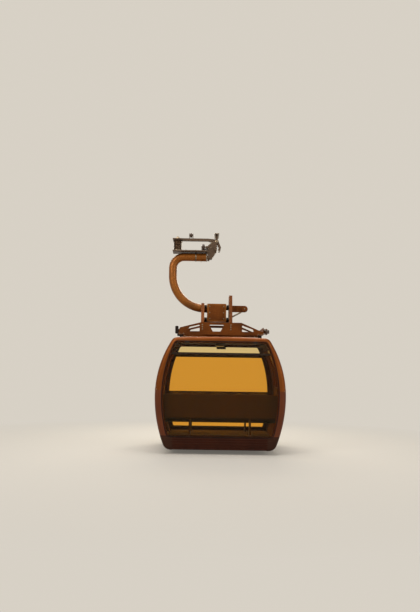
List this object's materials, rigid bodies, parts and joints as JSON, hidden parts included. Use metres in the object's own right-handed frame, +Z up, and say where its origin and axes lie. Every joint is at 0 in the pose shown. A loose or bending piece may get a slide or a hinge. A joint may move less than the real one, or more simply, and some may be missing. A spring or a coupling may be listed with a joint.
{
  "type": "cable car cabin",
  "caption": "Barrel-sided cable car cabin with glazed ends, benches and sliding doors, hung by a roof frame and C-shaped hanger from a rope grip.",
  "frame": {"origin": "on the haul rope's axis, in the middle of the grip's jaws", "axes": "+Y along the rope in the travel direction, +Z up, +X to the right seen along +Y"},
  "size_m": [2.4, 2, 4.157],
  "materials": {
    "grip_paint": "satin cast steel",
    "steel": "machined",
    "spring_steel": "oiled",
    "roller": "moulded",
    "hanger_zinc": "hot-dip galvanised, satin",
    "frame_zinc": "hot-dip galvanised, dull",
    "rubber": "moulded",
    "shell_paint": "gloss lacquer",
    "trim": "anodised",
    "bumper": "textured",
    "skirt": "ribbed",
    "glass": "tinted polycarbonate",
    "vent_metal": "dark anodised",
    "floor": "ribbed mat",
    "bench": "powder coat",
    "pads": "coated weave",
    "lamp": "moulded"
  },
  "bodies": {
    "grip": {"grip_casting": "grip_paint", "swing_pin": "steel", "lever_pin": "steel", "drive_plate": "steel", "grip_springs": "spring_steel"},
    "jaw_lever": {"jaw_lever": "grip_paint"},
    "coupling_roller": {"coupling_roller": "roller"},
    "running_roller_front": {"running_roller_front": "roller"},
    "running_roller_rear": {"running_roller_rear": "roller"},
    "carrier": {"hanger_hub": "hanger_zinc", "hanger_tube": "hanger_zinc", "hanger_box": "hanger_zinc", "box_dampers": "rubber", "frame_cheeks": "frame_zinc", "frame_plate_front": "frame_zinc", "frame_plate_rear": "frame_zinc", "roof_mounts": "rubber", "frame_buffers": "rubber", "door_lever": "frame_zinc", "lever_strut": "steel", "guide_bracket": "frame_zinc", "roof_shell": "shell_paint", "cantrail_left": "trim", "cantrail_right": "trim", "end_arch_front": "trim", "end_arch_rear": "trim", "corner_panels": "shell_paint", "corner_bumpers": "bumper", "end_skirt_front": "skirt", "end_skirt_rear": "skirt", "end_glass_front": "glass", "end_glass_rear": "glass", "vent_bars": "vent_metal", "side_frame_left": "shell_paint", "side_frame_right": "shell_paint", "side_glass_left": "glass", "side_glass_right": "glass", "side_sills": "bumper", "underframe": "frame_zinc", "floor_tray": "floor", "bench_front": "bench", "bench_rear": "bench", "bench_pads_front": "pads", "bench_pads_rear": "pads", "ceiling_lamp": "lamp"},
    "guide_roller": {"guide_roller": "roller"},
    "door_front": {"door_leaf_front": "shell_paint", "door_glass_front": "glass"},
    "door_rear": {"door_leaf_rear": "shell_paint", "door_glass_rear": "glass"}
  },
  "joints": [
    {"name": "hanger_swing", "type": "hinge", "parent": "grip", "child": "carrier", "pos_m": [-0.31, 0, -0.167], "axis": [1, 0, 0], "range_deg": [-35, 35]},
    {"name": "jaw_opening", "type": "hinge", "parent": "grip", "child": "jaw_lever", "pos_m": [-0.02, 0, 0.14], "axis": [0, -1, 0], "range_deg": [0, 9], "stiffness_Nm_per_rad": 900, "springref_deg": -20.05, "deforming": ["grip_springs"]},
    {"name": "coupling_roller_spin", "type": "hinge", "parent": "jaw_lever", "child": "coupling_roller", "pos_m": [-0.52, 0, 0.262], "axis": [1, 0, 0], "continuous": true},
    {"name": "running_roller_front_spin", "type": "hinge", "parent": "grip", "child": "running_roller_front", "pos_m": [-0.275, -0.11, 0.014], "axis": [1, 0, 0], "continuous": true},
    {"name": "running_roller_rear_spin", "type": "hinge", "parent": "grip", "child": "running_roller_rear", "pos_m": [-0.275, 0.11, 0.014], "axis": [1, 0, 0], "continuous": true},
    {"name": "guide_roller_spin", "type": "hinge", "parent": "carrier", "child": "guide_roller", "pos_m": [0.98491, 0, -1.617], "axis": [0, 0, 1], "continuous": true},
    {"name": "door_front_slide", "type": "slide", "parent": "carrier", "child": "door_front", "axis": [0, -1, 0], "range_m": [0, 0.4]},
    {"name": "door_rear_slide", "type": "slide", "parent": "carrier", "child": "door_rear", "axis": [0, 1, 0], "range_m": [0, 0.4]}
  ],
  "couplings": [
    {"joint": "door_rear_slide", "follows": "door_front_slide", "ratio": 1}
  ]
}
